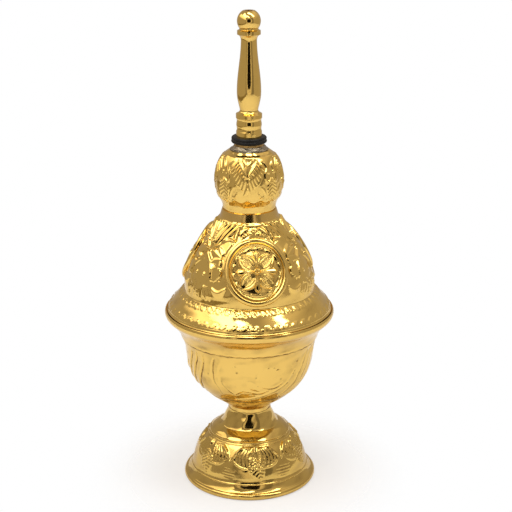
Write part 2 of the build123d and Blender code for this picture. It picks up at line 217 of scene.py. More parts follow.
def smoothstep(low, high, value):
    """Share from none at low to all at high with soft ends; low may be the larger of the two."""
    share = np.clip((value - low) / (high - low), 0.0, 1.0)
    return share * share * (3.0 - 2.0 * share)


def travel(line):
    """Distance along a line to each of its points."""
    return np.concatenate([[0.0], np.cumsum(np.linalg.norm(np.diff(line, axis=0), axis=1))])


def drawn_through(points, along, places):
    """A smooth curve through the points, read at distances along them; two points give a straight line."""
    if len(points) < 3:
        return np.column_stack([np.interp(places, along, points[:, axis]) for axis in (0, 1)])
    slope = np.gradient(points, along, axis=0, edge_order=2)
    index = np.clip(np.searchsorted(along, places, side="right") - 1, 0, len(points) - 2)
    span = (along[index + 1] - along[index])[:, None]
    share = (places - along[index])[:, None] / span
    square, cube = share ** 2, share ** 3
    return ((2 * cube - 3 * square + 1) * points[index] + (cube - 2 * square + share) * span * slope[index]
            + (3 * square - 2 * cube) * points[index + 1] + (cube - square) * span * slope[index + 1])


def outer_line(node_name):
    """Outer face of a turned node, from its own rings of points, as radius and height going up."""
    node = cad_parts[node_name]
    flat = np.empty(len(node.data.vertices) * 3, np.float32)
    node.data.vertices.foreach_get("co", flat)
    points = flat.reshape(-1, 3).astype(float) / MM
    radii = np.hypot(points[:, 0], points[:, 1])
    levels = np.round(points[:, 2], 2)
    tree = BVHTree.FromPolygons([corner.co for corner in node.data.vertices],
                                [face.vertices for face in node.data.polygons])
    lowest, highest = levels.min() + 0.01, levels.max() - 0.01
    line = []
    for level in np.unique(levels):
        here = levels == level
        widest = radii[here].max()
        height = min(max(level, lowest), highest)
        place, _, _, _ = tree.ray_cast(Vector((*RAY_FROM, height * MM)), Vector((-1.0, 0.0, 0.0)))
        seen = widest if place is None else math.hypot(place.x, place.y) / MM
        if seen - widest < OUTER_SLIP:
            line.append((widest, points[here][radii[here].argmax(), 2]))
    return np.array(line)


def rounded(line, spacing, keen=0.6, corner=25.0):
    """The line with its smooth runs rounded through its points, and more stations where it turns."""
    line = np.asarray(line, float)
    step = np.diff(line, axis=0)
    heading = np.unwrap(np.arctan2(step[:, 1], step[:, 0]))
    breaks = np.nonzero(np.abs(np.diff(heading)) > math.radians(corner))[0] + 1
    stops = [0, *breaks.tolist(), len(line) - 1]
    fine = []
    for start, end in zip(stops[:-1], stops[1:]):
        run = line[start:end + 1]
        along = travel(run)
        places = np.linspace(0.0, along[-1], max(2, int(along[-1] / FINE_STEP)))
        fine.extend(drawn_through(run, along, places)[:-1])
    fine.append(line[-1])
    fine = np.array(fine)
    step = np.diff(fine, axis=0)
    heading = np.unwrap(np.arctan2(step[:, 1], step[:, 0]))
    weight = np.linalg.norm(step, axis=1)
    weight[1:] += keen * np.minimum(np.abs(np.diff(heading)), 0.1)
    total = np.concatenate([[0.0], np.cumsum(weight)])
    stations = np.linspace(0.0, total[-1], int(total[-1] / spacing) + 2)
    return np.column_stack([np.interp(stations, total, fine[:, axis]) for axis in (0, 1)])


def outward(line):
    """Outward normals of a line drawn upwards."""
    along = np.gradient(line, axis=0)
    return unit(np.column_stack([along[:, 1], -along[:, 0]]))


def inside_of(line, wall, stations=26):
    """The inner face of a sheet whose outer face is the line."""
    inner = line - outward(line) * wall
    picks = np.unique(np.linspace(0, len(line) - 1, stations).astype(int))
    return inner[picks]


def wander(angle, climb, seed, amount, pitch, radius=25.0):
    """Smooth unevenness of hand work, the same on every run."""
    source = np.random.default_rng(seed)
    total = np.zeros(np.broadcast(angle, climb).shape)
    for _ in range(WAVES):
        around = int(source.integers(1, max(3, int(2 * math.pi * radius / pitch))))
        along = source.normal() * 2 * math.pi / pitch
        total += np.cos(np.radians(angle) * around + climb * along + source.uniform(0, 2 * math.pi))
    return amount * total / math.sqrt(WAVES)


class Chasing:
    """Relief worked into the outer face of a turned sheet, in millimetres above or below the plain face."""

    def __init__(self, line, columns, repeats, offset=0.0, mirrored=True, seed=1, depth=1.0):
        self.line = line
        self.climb_of_line = travel(line)
        self.period = 360.0 / repeats
        self.mirrored = mirrored
        self.angle, self.climb = np.meshgrid(np.arange(columns) * 360.0 / columns, self.climb_of_line)
        self.radius = np.repeat(line[:, :1], columns, axis=1)
        self.level = np.repeat(line[:, 1:], columns, axis=1)
        drift = wander(self.angle, self.climb, seed, 0.3, 14.0)
        turn = self.angle - offset + np.degrees(drift / np.maximum(self.radius, 5.0))
        self.turn = (turn + self.period / 2) % self.period - self.period / 2
        self.height = self.climb + wander(self.angle, self.climb, seed + 50, 0.15, 12.0)
        self.relief = np.zeros(self.turn.shape)
        self.strength = depth * bpy.context.scene.sprinkler_work.chasing

    def near(self, points, reach):
        """For the stroke and its images: the grid places near it, their distance, and their share along it."""
        points = np.asarray(points, float)
        level = np.interp(points[:, 1], self.line[:, 1], self.climb_of_line)
        radius = np.interp(points[:, 1], self.line[:, 1], self.line[:, 0]).mean()
        flat = np.column_stack([np.radians(points[:, 0]) * radius, level])
        along = travel(flat)
        count = max(6, int(along[-1] / STROKE_STEP))
        stroke = drawn_through(flat, along, np.linspace(0.0, along[-1], count))
        degrees = np.degrees(stroke[:, 0] / radius)
        margin = math.degrees(reach / radius)
        for sign in ((1.0, -1.0) if self.mirrored else (1.0,)):
            for shift in (-self.period, 0.0, self.period):
                image = sign * degrees + shift
                if image.max() + margin < -self.period / 2 or image.min() - margin > self.period / 2:
                    continue
                low, high = stroke[:, 1].min() - reach, stroke[:, 1].max() + reach
                close = ((self.turn > image.min() - 1.6 * margin) & (self.turn < image.max() + 1.6 * margin)
                         & (self.height > low) & (self.height < high))
                rows, cols = np.nonzero(close)
                if not len(rows):
                    continue
                across = np.radians(self.turn[rows, cols][:, None] - image[None, :])
                across *= self.radius[rows, cols][:, None]
                up = self.height[rows, cols][:, None] - stroke[None, :, 1]
                gap = across ** 2 + up ** 2
                best = gap.argmin(axis=1)
                yield (rows, cols), np.sqrt(gap[np.arange(len(rows)), best]), best / (count - 1.0)

    def ridge(self, points, width, height, taper=0.7):
        """A raised or sunk line, finer at its ends."""
        layer = np.zeros(self.relief.shape)
        for where, gap, share in self.near(points, 2.6 * width):
            here = width * (1.0 - taper * np.abs(2.0 * share - 1.0) ** 3)
            layer[where] = np.maximum(layer[where], np.exp(-(gap / here) ** 2))
        self.relief += height * layer

    def ridges(self, *strokes):
        """Several lines in turn, each with its points, width and height."""
        for points, width, height in strokes:
            self.ridge(points, width, height)

    def leaf(self, points, width, height, ribs=0.0, rib=0.12, skew=0.7, keel=0.0, rim=0.0, blunt=0.8):
        """A leaf along a spine: a raised body with an edge all round, ribs to both sides, a keel and a rim."""
        for where, gap, share in self.near(points, 1.5 * width):
            half = width * np.sin(np.pi * np.clip(share, 0.02, 0.98) ** blunt) ** 0.7
            part = gap / np.maximum(half, 0.05)
            body = smoothstep(1.12, 0.86, part)
            made = body * (height + keel * (1.0 - np.clip(part, 0, 1)) ** 1.5)
            made += rim * np.exp(-((part - 0.86) / 0.13) ** 2)
            if ribs:
                made += body * rib * np.cos(2 * np.pi * (ribs * share - skew * part))
            self.relief[where] = np.maximum(self.relief[where], made) if height > 0 else self.relief[where] + made

    def knob(self, angle, level, size, height):
        """A round punched bead."""
        self.ridge([(angle - 0.02, level), (angle + 0.02, level)], size, height, taper=0.0)

    def matting(self, low, high, depth, seed, ground=0.08):
        """Fine punch marks over the ground between two levels, where nothing is raised."""
        source = np.random.default_rng(seed)
        marks = source.uniform(-1.0, 1.0, self.relief.shape)
        zone = smoothstep(low - 0.3, low + 0.3, self.level) * smoothstep(high + 0.3, high - 0.3, self.level)
        bare = 1.0 - smoothstep(0.2 * ground, ground, np.abs(self.relief))
        self.relief += depth * marks * zone * bare

    def border(self, low, high, count, height, leaning):
        """A row of small struck tongues with a bead between them."""
        middle = (low + high) / 2
        half = (high - low) / 2
        phase = self.angle * count / 360.0
        up = (self.level - middle) / half
        cell = (phase + leaning * up * 0.35) % 1.0 - 0.5
        pitch = 2 * math.pi * self.radius / count
        tongue = smoothstep(0.36, 0.24, np.hypot(cell * 1.05, up * 0.34))
        slit = np.exp(-(cell * pitch / 0.28) ** 2) * smoothstep(0.9, 0.5, np.abs(up))
        edge_cell = np.abs(cell) - 0.5
        bead = np.exp(-((edge_cell * pitch) ** 2 + ((up + 0.45) * half) ** 2) / 0.42 ** 2)
        self.relief += height * (tongue - 0.8 * slit + 0.9 * bead)

    def result(self):
        """Relief of all strokes together, with the unevenness of the sheet."""
        uneven = bpy.context.scene.sprinkler_work.unevenness / MM
        rough = wander(self.angle, self.climb, 7, uneven, 9.0)
        return self.relief * self.strength + rough


def ring_faces(rows, columns, closed):
    """Four-cornered faces between rings of points, and from the last ring to the first if closed."""
    row = np.arange(rows if closed else rows - 1)[:, None]
    ring = np.arange(columns)[None, :]
    here, above, beside = row * columns, (row + 1) % rows * columns, (ring + 1) % columns
    return np.stack([here + ring, here + beside, above + beside, above + ring], axis=-1).reshape(-1, 4)


def piece_from_grid(name, corners, faces, relief, sharp=50.0):
    """A smooth object from points in millimetres, with the relief kept as a named value on its points."""
    mesh = bpy.data.meshes.new(name)
    mesh.from_pydata((corners * MM).tolist(), [], faces)
    mesh.validate()
    mesh.polygons.foreach_set("use_smooth", [True] * len(mesh.polygons))
    mesh.set_sharp_from_angle(angle=math.radians(sharp))
    kept = mesh.attributes.new("chasing", "FLOAT", "POINT")
    kept.data.foreach_set("value", np.asarray(relief, np.float32))
    mesh.update()
    piece = bpy.data.objects.new(name, mesh)
    bpy.context.scene.collection.objects.link(piece)
    return piece


def turned_piece(name, outer, inner, columns, relief=None, drop=None, sharp=50.0):
    """A closed ring-shaped piece: outer face with its relief, and a plain inner face."""
    relief = np.zeros((len(outer), columns)) if relief is None else relief
    normals = outward(outer)
    angle = np.radians(np.arange(columns) * 360.0 / columns)
    radius = outer[:, :1] + normals[:, :1] * relief
    height = outer[:, 1:] + normals[:, 1:] * relief
    if drop is not None:
        height = height - drop
    back = np.asarray(inner)[::-1]
    radius = np.vstack([radius, np.repeat(back[:, :1], columns, axis=1)])
    height = np.vstack([height, np.repeat(back[:, 1:], columns, axis=1)])
    corners = np.stack([radius * np.sin(angle), -radius * np.cos(angle), height], axis=-1).reshape(-1, 3)
    faces = ring_faces(len(radius), columns, closed=True).tolist()
    kept = np.vstack([relief, np.zeros((len(back), columns))]).reshape(-1)
    return piece_from_grid(name, corners, faces, kept, sharp)


def dress(piece, node_names, body, material):
    """The piece takes the nodes' place on their body, with its finish."""
    piece.data.materials.append(material)
    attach(piece, body)
    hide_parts(*node_names)
    return piece


def add_node(tree, kind, **settings):
    """A shader node, with properties by name and inputs as a dictionary."""
    node = tree.nodes.new(kind)
    for name, value in settings.pop("inputs", {}).items():
        node.inputs[name].default_value = value
    for name, value in settings.items():
        setattr(node, name, value)
    return node


def wire(tree, *joints):
    """Links sockets, each joint giving a node and its output, and the next node and its input."""
    for source, output, target, entry in joints:
        tree.links.new(source.outputs[output], target.inputs[entry])


def group_with(name, sockets_in, sockets_out):
    """An empty shader node group, its named inputs with their defaults, and its two ends."""
    tree = bpy.data.node_groups.new(name, "ShaderNodeTree")
    for label, kind, default in sockets_in:
        socket = tree.interface.new_socket(name=label, in_out="INPUT", socket_type=kind)
        if default is not None:
            socket.default_value = default
    for label, kind in sockets_out:
        tree.interface.new_socket(name=label, in_out="OUTPUT", socket_type=kind)
    return tree, add_node(tree, "NodeGroupInput"), add_node(tree, "NodeGroupOutput")


def recess_group():
    """Tarnish that stays in the sunk ground, broken up by noise."""
    tree, start, end = group_with(
        "Recess tarnish",
        [("Bright", "NodeSocketColor", (1, 1, 1, 1)), ("Dull", "NodeSocketColor", (0, 0, 0, 1)),
         ("Amount", "NodeSocketFloat", 1.0)],
        [("Colour", "NodeSocketColor"), ("Mask", "NodeSocketFloat")])
    depth = add_node(tree, "ShaderNodeAttribute", attribute_name="chasing")
    sunk = add_node(tree, "ShaderNodeMapRange", inputs={1: 0.02, 2: -0.3, 3: 0.0, 4: 1.0})
    place = add_node(tree, "ShaderNodeTexCoord")
    stains = add_node(tree, "ShaderNodeTexNoise", inputs={"Scale": 260.0, "Detail": 4.0, "Roughness": 0.6})
    patchy = add_node(tree, "ShaderNodeMapRange", inputs={1: 0.35, 2: 0.7, 3: 0.25, 4: 1.0})
    both = add_node(tree, "ShaderNodeMath", operation="MULTIPLY")
    share = add_node(tree, "ShaderNodeMath", operation="MULTIPLY", use_clamp=True)
    mix = add_node(tree, "ShaderNodeMix", data_type="RGBA")
    wire(tree, (depth, "Fac", sunk, 0), (place, "Object", stains, "Vector"), (stains, "Fac", patchy, 0),
         (sunk, 0, both, 0), (patchy, 0, both, 1), (both, 0, share, 0), (start, "Amount", share, 1),
         (share, 0, mix, 0), (start, "Bright", mix, 6), (start, "Dull", mix, 7),
         (mix, 2, end, "Colour"), (share, 0, end, "Mask"))
    return tree


def polish_group():
    """Handling haze in the roughness, and fine polishing marks as height."""
    tree, start, end = group_with(
        "Polish marks",
        [("Roughness", "NodeSocketFloat", 0.1), ("Haze", "NodeSocketFloat", 0.05), ("Marks", "NodeSocketFloat", 1.0)],
        [("Roughness", "NodeSocketFloat"), ("Height", "NodeSocketFloat")])
    place = add_node(tree, "ShaderNodeTexCoord")
    haze = add_node(tree, "ShaderNodeTexNoise", inputs={"Scale": 70.0, "Detail": 5.0, "Roughness": 0.65})
    amount = add_node(tree, "ShaderNodeMath", operation="MULTIPLY")
    total = add_node(tree, "ShaderNodeMath", operation="ADD", use_clamp=True)
    stretch = add_node(tree, "ShaderNodeMapping", inputs={"Scale": (1.0, 1.0, 14.0)})
    marks = add_node(tree, "ShaderNodeTexNoise", inputs={"Scale": 420.0, "Detail": 3.0, "Roughness": 0.5})
    peel = add_node(tree, "ShaderNodeTexNoise", inputs={"Scale": 650.0, "Detail": 2.0, "Roughness": 0.5})
    mark_share = add_node(tree, "ShaderNodeMath", operation="MULTIPLY", inputs={1: 0.35})
    summed = add_node(tree, "ShaderNodeMath", operation="ADD")
    height = add_node(tree, "ShaderNodeMath", operation="MULTIPLY")
    wire(tree, (place, "Object", haze, "Vector"), (haze, "Fac", amount, 0), (start, "Haze", amount, 1),
         (amount, 0, total, 0), (start, "Roughness", total, 1), (total, 0, end, "Roughness"),
         (place, "Object", stretch, "Vector"), (stretch, 0, marks, "Vector"), (place, "Object", peel, "Vector"),
         (marks, "Fac", mark_share, 0), (mark_share, 0, summed, 0), (peel, "Fac", summed, 1),
         (summed, 0, height, 0), (start, "Marks", height, 1), (height, 0, end, "Height"))
    return tree


def shared(name, maker):
    """The node group of that name, built the first time it is asked for."""
    return bpy.data.node_groups.get(name) or maker()


def new_material(name):
    """A material with nodes, and its node tree."""
    material = bpy.data.materials.new(name)
    material.use_nodes = True
    return material, material.node_tree


def worked_metal(name, bright, dull, roughness, haze, marks, tarnish, bump=0.06, metallic=1.0):
    """Metal with tarnish in its recesses, handling haze and polishing marks."""
    material = bpy.data.materials.get("worked_" + name)
    if material:
        return material
    material, tree = new_material("worked_" + name)
    shader = tree.nodes["Principled BSDF"]
    shader.inputs["Metallic"].default_value = metallic
    recess = add_node(tree, "ShaderNodeGroup", node_tree=shared("Recess tarnish", recess_group))
    recess.inputs["Bright"].default_value = (*bright, 1.0)
    recess.inputs["Dull"].default_value = (*dull, 1.0)
    recess.inputs["Amount"].default_value = tarnish
    polish = add_node(tree, "ShaderNodeGroup", node_tree=shared("Polish marks", polish_group))
    polish.inputs["Roughness"].default_value = roughness
    polish.inputs["Haze"].default_value = haze
    polish.inputs["Marks"].default_value = marks
    dulled = add_node(tree, "ShaderNodeMath", operation="MULTIPLY", inputs={1: 0.3})
    rough = add_node(tree, "ShaderNodeMath", operation="ADD", use_clamp=True)
    bumped = add_node(tree, "ShaderNodeBump", inputs={"Strength": bump, "Distance": 0.0003})
    wire(tree, (recess, "Colour", shader, "Base Color"), (recess, "Mask", dulled, 0), (dulled, 0, rough, 0),
         (polish, "Roughness", rough, 1), (rough, 0, shader, "Roughness"),
         (polish, "Height", bumped, "Height"), (bumped, "Normal", shader, "Normal"))
    return material


def gilt(name, roughness=0.045, haze=0.05, marks=1.0, tarnish=1.0, painted_shade=1.0):
    """Polished gilding; a shade factor under one darkens its whole colour, which is painted shade."""
    colours = bpy.context.scene.sprinkler_colours
    bright = tuple(painted_shade * part for part in colours.gilt)
    return worked_metal(name, bright, colours.tarnish, roughness, haze, marks, tarnish)


class SPRINKLER_OT_foot(bpy.types.Operator):
    """Bell foot with its rolled edge, double ridge and band of ribbed leaves"""

    bl_idname = "sprinkler.foot"
    bl_label = "Chased foot"

    def execute(self, context):
        work = context.scene.sprinkler_work
        line = outer_line("foot_shell")
        centre = (line[:, 0].max() - ROLL_RADIUS, ROLL_RADIUS - 0.1)
        around = np.radians(np.arange(ROLL_START, 360.0, ROLL_STEP))
        roll = np.column_stack([centre[0] + ROLL_RADIUS * np.cos(around), centre[1] + ROLL_RADIUS * np.sin(around)])
        roll[:, 1] = np.maximum(roll[:, 1], 0.0)
        upper = line[line[:, 1] > centre[1] + 0.1]
        outer = rounded(np.vstack([roll, upper]), FOOT_GAP)
        bell = rounded(upper[upper[:, 1] > centre[1] + ROLL_OVERLAP], FOOT_BELL_GAP)
        inner = inside_of(bell, work.sheet / MM, FOOT_INSIDE)
        chasing = Chasing(outer, work.columns, repeats=6, mirrored=False, seed=11, depth=1.35)
        for side in (-1, 1):
            chasing.ridge([(side * 30, 18.0), (side * 24, 21.4), (side * 16, 24.5)], 0.5, 0.38)
            for rib in range(6):
                start = side * (2.5 + 2.3 * rib)
                end = side * (5.0 + 3.9 * rib)
                bend = side * (4.5 + 4.1 * rib)
                chasing.ridge([(start, 24.4), (bend, 21.6 - 0.15 * rib), (end, 16.2 + 0.45 * rib)], 0.5, 0.42)
            chasing.ridge([(side * 26, 18.6), (side * 16, 15.8), (side * 7, 15.4)], 0.45, 0.3)
        chasing.leaf([(-2.5, 19.4), (0.5, 15.0), (3.5, 9.6)], 4.3, 0.16, ribs=7.0, rib=0.13, skew=0.9, rim=0.14)
        chasing.ridge([(-2.5, 19.4), (0.5, 15.0), (3.5, 9.8)], 0.35, 0.16)
        chasing.knob(-4.5, 22.6, 0.9, 0.4)
        chasing.knob(-6.0, 19.4, 0.7, 0.35)
        for turn in (-30.0, 30.0):
            for row in range(4):
                chasing.ridge([(turn - 9 + row, 14.6 - 1.4 * row), (turn + 9 - row, 14.2 - 1.4 * row)], 0.3, -0.07)
        chasing.matting(*FOOT_BAND, 0.004, seed=5)
        relief = chasing.result() * smoothstep(*FOOT_EDGE_FADE, chasing.level)
        piece = turned_piece("chased_foot", outer, inner, work.columns, relief)
        # The foot's gilt is darkened as a whole by 0.82: painted shade, not a different metal.
        dress(piece, ["foot_shell"], "vessel", gilt("gilt_foot", roughness=0.05, tarnish=1.4, painted_shade=0.82))
        return {"FINISHED"}


class SPRINKLER_OT_bowl(bpy.types.Operator):
    """Bowl with low chased scrolls under a scalloped line, a plain flare and the hem of the brim"""

    bl_idname = "sprinkler.bowl"
    bl_label = "Chased bowl"

    def execute(self, context):
        work = context.scene.sprinkler_work
        outer = rounded(outer_line("bowl_shell"), BOWL_GAP)
        inner = inside_of(outer, work.sheet / MM, BOWL_INSIDE)
        chasing = Chasing(outer, work.columns, repeats=3, mirrored=False, seed=21, depth=1.7)
        low, high = BOWL_BAND
        scrolls = [
            [(-27.6, 78.8), (-33, 75), (-35, 67.2), (-30, 61), (-22, 57.8)],
            [(-22, 57.8), (-15, 60.5), (1.4, 59.0), (10, 60.5)],
            [(-18.6, 66), (-15, 62), (-6, 58.5)],
            [(36.4, 69.8), (26.4, 62.2), (6.4, 57), (-9.1, 54.8), (-24, 54)],
            [(0, 65.5), (5, 62.5), (15, 61.8), (24, 64.8)],
            [(52, 78), (45, 69), (36, 60), (24, 54.5)],
            [(60, 79), (52, 67), (42, 57.5), (30, 53)],
            [(68, 79), (61, 66), (50, 56), (40, 52.5)],
            [(-40, 78), (-43, 70), (-40, 61), (-33, 55)],
        ]
        for scroll in scrolls:
            chasing.ridge(scroll, 0.75, 0.2)
            chasing.ridge([(turn + 1.0, level - 0.8) for turn, level in scroll], 0.5, -0.3)
        chasing.leaf([(0, 68.0), (9, 70.6), (21, 71.6)], 3.5, 0.12, ribs=5.0, rib=0.07, skew=0.8, keel=0.1)
        chasing.leaf([(-4, 70.0), (-12, 73.5), (-23, 74.0)], 3.0, 0.1, ribs=5.0, rib=0.06, skew=0.8, keel=0.1)
        chasing.leaf([(-10, 66.0), (-3, 63.0), (2, 60.5)], 1.8, 0.12, keel=0.1)
        for petal in range(6):
            around = math.radians(60 * petal)
            chasing.knob(-55 + 3.2 * math.cos(around), 76.6 + 2.0 * math.sin(around), 0.75, 0.22)
        chasing.knob(-55, 76.6, 0.8, 0.28)
        for spot, level in ((-19, 71.5), (-1, 68.5), (0, 63.5), (22, 66.5), (40, 74), (-48, 68)):
            chasing.knob(spot, level, 0.5, -0.2)
        scallop = high - 0.3 + 0.3 * np.abs(np.cos(np.radians(chasing.angle * STAMPS_ROUND / 2)))
        chasing.relief -= 0.2 * np.exp(-((chasing.level - scallop) / 0.34) ** 2)
        chasing.relief += 0.08 * np.exp(-((chasing.level - scallop - 0.9) / 0.5) ** 2)
        ripple = low + 0.5 * np.sin(np.radians(chasing.angle * 9))
        chasing.relief -= 0.22 * np.exp(-((chasing.level - ripple) / 0.45) ** 2)
        chasing.matting(low + 1.0, high - 0.6, 0.003, seed=6)
        relief = chasing.result() * smoothstep(*HEM_FADE, chasing.level)
        piece = turned_piece("chased_bowl", outer, inner, work.columns, relief)
        dress(piece, ["bowl_shell"], "vessel", gilt("gilt_bowl", roughness=0.06, tarnish=1.5))
        return {"FINISHED"}


class SPRINKLER_OT_dome(bpy.types.Operator):
    """Skirt with two struck borders, and the cone with its leaves, buds and crescents"""

    bl_idname = "sprinkler.dome"
    bl_label = "Chased dome"

    def execute(self, context):
        work = context.scene.sprinkler_work
        outer = rounded(outer_line("dome_shell"), DOME_GAP)
        inner = inside_of(outer, work.sheet / MM, DOME_INSIDE)
        chasing = Chasing(outer, work.columns, repeats=3, seed=31, depth=1.35)
        drapes = [
            [(22.6, 145.0), (33.0, 141.2), (45.6, 136.2)],
            [(31.5, 145.0), (42.0, 141.2), (51.0, 135.2)],
            [(41.0, 145.0), (51.0, 140.4), (56.2, 134.8)],
            [(50.5, 145.0), (56.8, 139.8), (59.0, 134.2)],
        ]
        for drape in drapes:
            chasing.ridge(drape, 0.85, 0.72)
        chasing.ridges(
            ([(60, 145.0), (60, 139.0), (60, 133.5)], 0.6, 0.4),
            ([(20, 145.0), (24.5, 141.5), (27.4, 137.2)], 1.1, 0.8),
            ([(16.5, 144.6), (20.5, 141.2), (23.6, 138.0)], 1.0, -0.5),
            ([(27.5, 137.2), (37.5, 137.4), (46, 135.4), (55, 133.2)], 1.0, 0.6),
            ([(29.0, 135.5), (37.5, 135.6), (46, 133.7)], 0.9, -0.5),
        )
        chasing.leaf([(36, 136.6), (35.5, 133.8), (33.5, 130.6)], 4.6, 0.26, rim=0.12)
        chasing.leaf([(38.5, 129.4), (47, 131.0), (56, 132.4)], 2.3, 0.42, keel=0.35)
        chasing.leaf([(38.5, 128.8), (45, 128.2), (51.5, 126.6)], 2.1, 0.42, keel=0.35)
        chasing.leaf([(38.0, 130.0), (42, 132.4), (46, 134.2)], 1.9, 0.4, keel=0.3)
        chasing.leaf([(37.5, 128.0), (40, 126.4), (41.5, 124.4)], 1.6, 0.4, keel=0.3)
        chasing.ridge([(62, 131.4), (54, 127.6), (47, 122.8), (44.6, 118.6)], 1.15, 0.75)
        chasing.ridge([(60, 127.6), (50.5, 124.6), (45.4, 119.6), (49, 115.6), (54, 115.0)], 0.5, 0.32)
        chasing.leaf([(60, 127.0), (60, 121.0), (60, 115.4)], 8.0, 0.14)
        chasing.knob(54.8, 120.8, 0.85, 0.6)
        chasing.leaf([(41.2, 125.4), (41.6, 121.8), (40.6, 118.4)], 3.4, 0.4, keel=0.15, rim=0.15)
        chasing.ridge([(35.4, 124.2), (35.0, 121.6), (36.0, 119.0)], 0.5, -0.3)
        chasing.ridge([(44.0, 115.4), (36.0, 113.3), (28.6, 116.4)], 1.2, 0.62, taper=0.85)
        strands = [
            [(51, 118.0), (53, 114.0), (50, 109.0)],
            [(47, 116.0), (45, 112.0), (44.5, 108.4)],
            [(54, 116.0), (56.5, 111.5), (55.0, 107.8)],
            [(58.5, 116.0), (59.5, 112.0), (58.6, 107.8)],
            [(50, 114.0), (47.5, 110.5), (48.5, 107.8)],
        ]
        for strand in strands:
            chasing.ridge(strand, 0.5, 0.3)
        chasing.ridge([(0.0, 144.5), (8.0, 144.7), (15.0, 144.6)], 0.6, 0.45, taper=0.2)
        chasing.leaf([(21.4, 139.6), (15.6, 142.2), (7.0, 143.3)], 1.25, 0.4, keel=0.2)
        chasing.leaf([(19.2, 138.4), (12.0, 140.8), (4.0, 140.9)], 1.3, 0.22, ribs=8.0, rib=0.16, skew=0.0)
        chasing.leaf([(-5.0, 142.0), (0.0, 142.4), (5.0, 142.0)], 1.0, 0.25, rim=0.1)
        chasing.matting(CONE_BAND[0] + 3.0, CONE_BAND[1], 0.005, seed=8)
        chasing.border(*INNER_BORDER, STAMPS_ROUND, 0.24, leaning=0.6)
        chasing.border(*OUTER_BORDER, STAMPS_ROUND, 0.24, leaning=-0.5)
        relief = chasing.result() * smoothstep(*SKIRT_FADE, chasing.level)
        relief *= 1.0 - 0.75 * smoothstep(*COLLAR_FADE, chasing.level)
        up = (chasing.level - MEDALLION_LEVEL) / (0.5 * MEDALLION_TALL * math.cos(math.radians(MEDALLION_TILT)))
        wide = chasing.radius * np.sin(np.radians(chasing.turn)) / MEDALLION_CLEAR
        plain = smoothstep(0.97, 1.05, np.hypot(up, wide))
        relief = relief * plain + np.minimum(relief, 0.0) * (1.0 - plain)
        piece = turned_piece("chased_dome", outer, inner, work.columns, relief)
        dress(piece, ["dome_shell"], "vessel", gilt("gilt_dome"))
        return {"FINISHED"}


def petal_relief(across, up):
    """Relief of the rosette's field: four broad petals, four slender leaves, a boss and a ring of leaf tips."""
    radius = np.hypot(across, up)
    bearing = np.degrees(np.arctan2(up, across))
    made = np.zeros(radius.shape)
    broad = (bearing % 90.0) - 45.0
    along = radius * np.cos(np.radians(broad))
    side = np.abs(radius * np.sin(np.radians(broad)))
    half = 4.0 * np.sin(np.pi * np.clip((along - 1.0) / 10.6, 0.01, 0.99) ** 0.95) ** 0.7
    part = side / np.maximum(half, 0.05)
    body = smoothstep(1.1, 0.9, part) * smoothstep(1.0, 1.6, along) * smoothstep(11.4, 10.8, along)
    made += body * 0.25
    made += body * 0.6 * np.exp(-((part - 0.8) / 0.16) ** 2)
    lozenge = smoothstep(0.62, 0.5, part) * smoothstep(3.6, 4.4, along) * smoothstep(9.6, 8.8, along)
    made += 0.5 * np.exp(-((part - 0.44) / 0.11) ** 2) * smoothstep(3.2, 4.2, along) * smoothstep(10.0, 9.0, along)
    made += lozenge * 0.1 * np.cos(2 * np.pi * (along + side) / 0.9) * np.cos(2 * np.pi * (along - side) / 0.9)
    slim = ((bearing + 45.0) % 90.0) - 45.0
    along = radius * np.cos(np.radians(slim))
    side = np.abs(radius * np.sin(np.radians(slim)))
    half = 0.35 + 1.15 * smoothstep(2.0, 8.6, along)
    part = side / half
    body = smoothstep(1.15, 0.75, part) * smoothstep(1.2, 1.8, along) * smoothstep(10.6, 9.4, along + side * 0.8)
    made = np.maximum(made, body * (0.75 + 0.35 * (1.0 - np.clip(part, 0, 1))))
    tips = np.abs(np.sin(np.radians(bearing * 8.0)))
    ring = np.exp(-((radius - 11.5 - 0.5 * tips) / 0.75) ** 2)
    made = np.maximum(made, ring * (0.12 + 0.5 * tips))
    made = np.maximum(made, 0.95 * smoothstep(1.75, 1.25, radius) - 0.5 * smoothstep(0.8, 0.4, radius))
    return made


